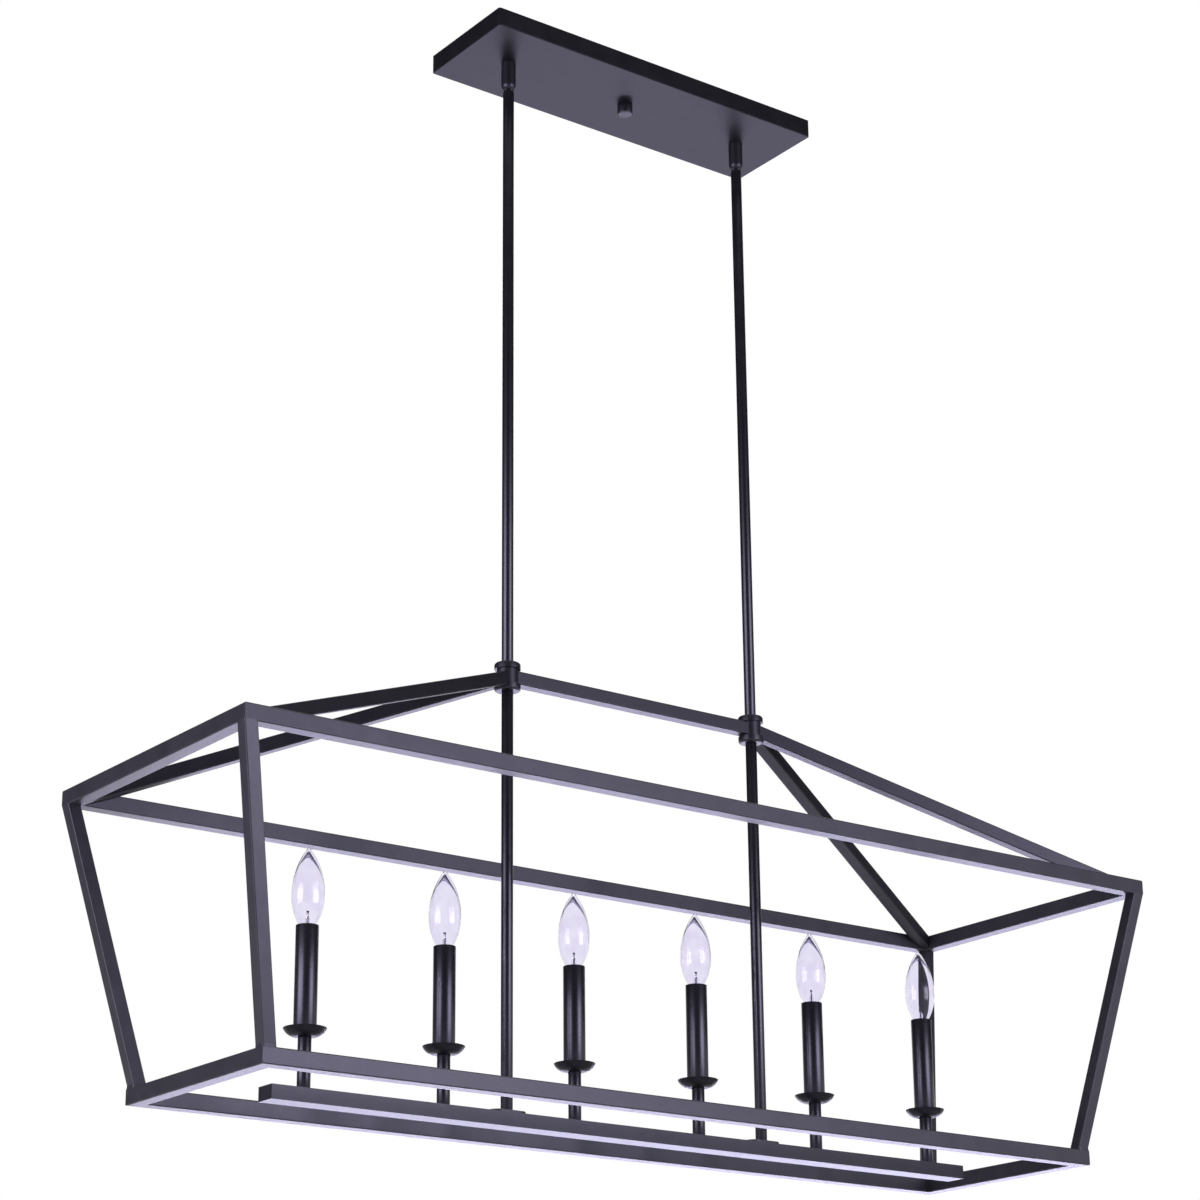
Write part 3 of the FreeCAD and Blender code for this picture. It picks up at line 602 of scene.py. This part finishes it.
def bulb_glass_mesh(x):
    """The outer skin and the cavity's skin as one closed wall with a solid tip."""
    bm = turn(bulb_envelope(), x)
    inner = turn(bulb_cavity(), x)
    bmesh.ops.reverse_faces(inner, faces=inner.faces)
    hollow = bpy.data.meshes.new("bulb_cavity")
    inner.to_mesh(hollow)
    inner.free()
    bm.from_mesh(hollow)
    bpy.data.meshes.remove(hollow)
    return bm


COIL_Z = SLEEVE_TOP + 13.5
COIL_LENGTH = 3.0
COIL_R = 0.7
COIL_WIRE = 0.24
COIL_TURNS = 6
COIL_STEPS = 12
LEAD_WIRE = 0.28
LEAD_FOOT = 0.6
LEAD_ROOT = 5.0
LEAD_BEND = 8.5
COIL_HEADINGS = (203.0, 196.0, 208.0, 199.0, 212.0, 205.0)


def straight_wire(bm, start, end, radius):
    """Adds a round wire between two points in millimetres."""
    start, end = Vector(start) * MM, Vector(end) * MM
    way = end - start
    wire = bmesh.ops.create_cone(bm, cap_ends=True, segments=10, radius1=radius * MM,
                                 radius2=radius * MM, depth=way.length)
    bmesh.ops.rotate(bm, verts=wire["verts"], matrix=way.to_track_quat("Z", "Y").to_matrix())
    bmesh.ops.translate(bm, verts=wire["verts"], vec=(start + end) / 2)


def filament(x, heading):
    """Two support wires that rise out of the glass mount, with a coiled tungsten wire between.
    The wires are drawn thicker than real ones, so that they show."""
    bm = bmesh.new()
    steps = COIL_TURNS * COIL_STEPS
    ring = bmesh.ops.create_circle(bm, cap_ends=True, segments=6, radius=COIL_WIRE * MM)
    bmesh.ops.rotate(bm, verts=ring["verts"], matrix=Matrix.Rotation(math.radians(90), 3, "X"))
    bmesh.ops.translate(bm, verts=ring["verts"], vec=(0, 0, COIL_R * MM))
    bmesh.ops.rotate(bm, verts=ring["verts"], matrix=Matrix.Rotation(math.radians(90), 3, "Z"))
    bmesh.ops.translate(bm, verts=ring["verts"], vec=(-COIL_LENGTH / 2 * MM, 0, 0))
    bmesh.ops.spin(bm, geom=list(bm.verts) + list(bm.edges) + list(bm.faces), cent=(0, 0, 0),
                   axis=(1, 0, 0), dvec=(COIL_LENGTH * MM / steps, 0, 0),
                   angle=math.tau * COIL_TURNS, steps=steps)
    bmesh.ops.translate(bm, verts=bm.verts, vec=(0, 0, COIL_Z * MM))
    for side in (-1, 1):
        bend = (side * LEAD_FOOT, 0, SLEEVE_TOP + LEAD_BEND)
        straight_wire(bm, (side * LEAD_FOOT, 0, SLEEVE_TOP - LEAD_ROOT), bend, LEAD_WIRE)
        straight_wire(bm, bend, (side * COIL_LENGTH / 2, 0, COIL_Z + COIL_R), LEAD_WIRE)
    bmesh.ops.rotate(bm, verts=bm.verts, matrix=Matrix.Rotation(math.radians(heading), 3, "Z"))
    bmesh.ops.translate(bm, verts=bm.verts, vec=(x * MM, 0, 0))
    bmesh.ops.recalc_face_normals(bm, faces=bm.faces)
    return bm


COLLAR_R = 7.0
COLLAR_HEIGHT = 2.2
THREAD_PITCH = 2.54
THREAD_RINGS = 6
THREAD_CREST = 6.0
THREAD_DEPTH = 0.6
RING_POINTS = 8
CAP_ROUND = 48
INSULATOR_R = 4.5
INSULATOR_EDGE = 0.6
INSULATOR_HEIGHT = 2.0
CONTACT_R = 2.0
CONTACT_TOP_R = 1.7
CONTACT_FOOT_R = 1.4
CONTACT_HEIGHT = 1.4
CONTACT_CROWN = 0.2


def screw_cap(x):
    """The crimped collar and the thread rolled into the thin shell, as rings one pitch apart."""
    top = base_high.z - COLLAR_HEIGHT
    bm, end = draw([(0, base_high.z), (COLLAR_R, base_high.z), (COLLAR_R, top)])
    middle = THREAD_CREST - THREAD_DEPTH / 2
    for step in range(THREAD_RINGS * RING_POINTS + 1):
        swell = math.cos(math.tau * step / RING_POINTS) * THREAD_DEPTH / 2
        end = draw_line(bm, end, middle - swell, top - step * THREAD_PITCH / RING_POINTS)
    draw_line(bm, end, 0, top - THREAD_RINGS * THREAD_PITCH)
    return turn(bm, x, 0, CAP_ROUND)


def cap_insulator(x):
    """The black moulded cone that closes the shell."""
    bottom = base_high.z - COLLAR_HEIGHT - THREAD_RINGS * THREAD_PITCH
    bm, _ = draw([(0, bottom), (THREAD_CREST - THREAD_DEPTH, bottom),
                  (INSULATOR_R, bottom - INSULATOR_EDGE),
                  (CONTACT_R, bottom - INSULATOR_HEIGHT), (0, bottom - INSULATOR_HEIGHT)])
    return turn(bm, x, 0, CAP_ROUND)


def solder_contact(x):
    """A drop of solder on the insulator's end."""
    top = base_low.z + CONTACT_HEIGHT
    bm, _ = draw([(0, top), (CONTACT_TOP_R, top), (CONTACT_R, top - 0.5),
                  (CONTACT_FOOT_R, base_low.z + CONTACT_CROWN), (0, base_low.z)])
    return turn(bm, x, 0, 32)


# Tungsten that has glowed is a dark, dull grey.
tungsten = drawn_metal("coiled_tungsten_wire", "#39393C", "#49494C")
for number, (x, heading) in enumerate(zip(LAMP_XS, COIL_HEADINGS), 1):
    body = "bulb_%d" % number
    add_piece(body + "_envelope", bulb_glass_mesh(x), body, glass, "bulb_glass", body + "_glass")
    add_piece(body + "_filament", filament(x, heading), body, tungsten, "nickel_base")
    add_piece(body + "_cap", screw_cap(x), body, nickel, "nickel_base", body + "_base")
    add_piece(body + "_insulator", cap_insulator(x), body, phenolic, "phenolic", body + "_base")
    add_piece(body + "_contact", solder_contact(x), body, nickel, "nickel_base", body + "_base")

# ---------------------------------------------------------------- floor, lamps and camera
# A plain pale floor lies far enough below to leave the lantern free from beneath, in a white
# surround. Two upright soft panels and a low one light it, and cloth hung round the studio, out
# of sight, is there only for the satin coat to mirror.

FLOOR_Z = -4.5
FLOOR_HALF = 16.0
FLOOR_LIFT = 0.2
CURTAIN_R = 4.6
DIFFUSE_LEVEL = 0.55


def studio_matt(name, dark, light, cloud_mm, roughness, gloss):
    """A matt stage surface whose colour drifts a little in clouds."""
    material, tree, shader, coordinates = start_material(name)
    cloud = add_node(tree, "ShaderNodeTexNoise", {}, {
        "Vector": coordinates, "Scale": 1 / (cloud_mm * MM), "Detail": 2.0})
    spread = add_node(tree, "ShaderNodeMapRange", {}, {
        "Value": cloud.outputs["Fac"], "From Min": 0.35, "From Max": 0.65})
    colour = add_node(tree, "ShaderNodeMix", {"data_type": "RGBA"}, {
        "Factor": spread.outputs["Result"], 6: linear(dark), 7: linear(light)})
    tree.links.new(colour.outputs[2], shader.inputs["Base Color"])
    shader.inputs["Roughness"].default_value = roughness
    shader.inputs["Specular IOR Level"].default_value = gloss
    return material, tree, shader


def background_rays(tree):
    """One for the rays that show the background: seen, mirrored or through glass."""
    path = add_node(tree, "ShaderNodeLightPath", {}, {})
    seen = add_node(tree, "ShaderNodeMath", {"operation": "MAXIMUM"}, {
        0: path.outputs["Is Camera Ray"], 1: path.outputs["Is Glossy Ray"]})
    seen = add_node(tree, "ShaderNodeMath", {"operation": "MAXIMUM"}, {
        0: seen.outputs["Value"], 1: path.outputs["Is Transmission Ray"]})
    return seen.outputs["Value"]


def stage_floor():
    """Matt white paint, rolled on. It is seen paler than it lights."""
    bm = bmesh.new()
    bmesh.ops.create_grid(bm, x_segments=1, y_segments=1, size=FLOOR_HALF)
    bmesh.ops.translate(bm, verts=bm.verts, vec=(0, 0, FLOOR_Z))
    mesh = bpy.data.meshes.new("studio_floor")
    bm.to_mesh(mesh)
    bm.free()
    material, tree, shader = studio_matt("matt_white_floor_paint", "#F3F3F4", "#F6F6F7",
                                         40.0, 0.9, 0.5)
    lift = add_node(tree, "ShaderNodeMath", {"operation": "MULTIPLY"}, {
        0: background_rays(tree), 1: FLOOR_LIFT})
    shader.inputs["Emission Color"].default_value = linear("#FFFFFF")
    tree.links.new(lift.outputs["Value"], shader.inputs["Emission Strength"])
    mesh.materials.append(material)
    floor = bpy.data.objects.new("studio_floor", mesh)
    bpy.context.scene.collection.objects.link(floor)


def surround():
    """White where it is seen or reflected, and a lower plain level where it lights."""
    world = bpy.data.worlds.new("white_surround")
    world.use_nodes = True
    tree = world.node_tree
    tree.nodes.clear()
    level = add_node(tree, "ShaderNodeMapRange", {}, {
        "Value": background_rays(tree), "To Min": DIFFUSE_LEVEL, "To Max": 1.0})
    white = add_node(tree, "ShaderNodeBackground", {}, {
        "Color": linear("#FFFFFF"), "Strength": level.outputs["Result"]})
    add_node(tree, "ShaderNodeOutputWorld", {}, {"Surface": white.outputs["Background"]})
    bpy.context.scene.world = world


def curtain(name, start_deg, end_deg, low, high, cloth):
    """Cloth round part of the room. The coat mirrors it, and it isn't seen past the lantern."""
    bm = bmesh.new()
    ends = [bm.verts.new((CURTAIN_R, 0, z)) for z in (low, high)]
    edge = bm.edges.new(ends)
    bmesh.ops.rotate(bm, verts=bm.verts, matrix=Matrix.Rotation(math.radians(start_deg), 3, "Z"))
    bmesh.ops.spin(bm, geom=ends + [edge], cent=(0, 0, 0), axis=(0, 0, 1),
                   angle=math.radians(end_deg - start_deg), steps=40)
    mesh = bpy.data.meshes.new(name)
    bm.to_mesh(mesh)
    bm.free()
    mesh.materials.append(cloth)
    hanging = bpy.data.objects.new(name, mesh)
    hanging.visible_camera = False
    hanging.visible_transmission = False
    hanging.visible_diffuse = False
    hanging.visible_shadow = False
    bpy.context.scene.collection.objects.link(hanging)


def soft_panel(name, place, aim, width, height, power, colour):
    """A rectangular softbox that faces a point, in metres and watts."""
    lamp = bpy.data.lights.new(name, "AREA")
    lamp.shape = "RECTANGLE"
    lamp.size = width
    lamp.size_y = height
    lamp.energy = power
    lamp.color = linear(colour)[:3]
    panel = bpy.data.objects.new(name, lamp)
    panel.location = place
    panel.rotation_euler = (Vector(aim) - Vector(place)).to_track_quat("-Z", "Y").to_euler()
    panel.visible_camera = False
    bpy.context.scene.collection.objects.link(panel)


CAMERA_YAW = math.radians(36.661)
CAMERA_PITCH = math.radians(19.576)
CAMERA_ROLL = math.radians(0.517)
CAMERA_PLACE = Vector((-1.8421, -2.4194, -1.6941))
FOCAL_PIXELS = 3033.5
FRAME_PIXELS = 1200.0


def place_camera():
    """The photograph's camera: from below, front and left, with a long lens."""
    forward = Vector((math.sin(CAMERA_YAW) * math.cos(CAMERA_PITCH),
                      math.cos(CAMERA_YAW) * math.cos(CAMERA_PITCH), math.sin(CAMERA_PITCH)))
    right = Vector((math.cos(CAMERA_YAW), -math.sin(CAMERA_YAW), 0))
    down = forward.cross(right)
    level_x = right * math.cos(CAMERA_ROLL) + down * math.sin(CAMERA_ROLL)
    level_y = right * math.sin(CAMERA_ROLL) - down * math.cos(CAMERA_ROLL)
    lens = bpy.data.cameras.new("photo_camera")
    lens.sensor_width = 36.0
    lens.lens = FOCAL_PIXELS / FRAME_PIXELS * lens.sensor_width
    lens.clip_end = 50.0
    camera = bpy.data.objects.new("photo_camera", lens)
    axes = Matrix((level_x, level_y, -forward)).transposed()
    camera.matrix_world = Matrix.Translation(CAMERA_PLACE) @ axes.to_4x4()
    bpy.context.scene.collection.objects.link(camera)
    bpy.context.scene.camera = camera


# Plain brushed cotton, black and grey, with a soft nap.
molton = studio_matt("black_molton_cloth", "#1A1A1C", "#202022", 30.0, 1.0, 0.1)[0]
calico = studio_matt("grey_calico_cloth", "#7C7C81", "#86868A", 30.0, 1.0, 0.1)[0]
stage_floor()
surround()
curtain("upper_curtain", 60, 380, 0.5, 4.5, molton)
curtain("camera_curtain", 208, 266, -1.5, 0.5, molton)
curtain("right_curtain", 325, 380, -0.4, 0.5, molton)
curtain("left_curtain", 90, 158, -1.2, 0.5, calico)
soft_panel("right_panel", (0.93, -2.85, -0.65), (0, 0, -0.9), 1.75, 1.2, 55, "#F2F0FF")
soft_panel("left_panel", (-3.0, -0.16, -0.65), (0, 0, -0.9), 2.2, 1.2, 68, "#F2F0FF")
soft_panel("low_panel", (1.79, 1.95, -1.72), (0, 0, -1.1), 2.5, 0.4, 32, "#DEDAFF")
place_camera()
bpy.context.scene.view_settings.view_transform = "Standard"
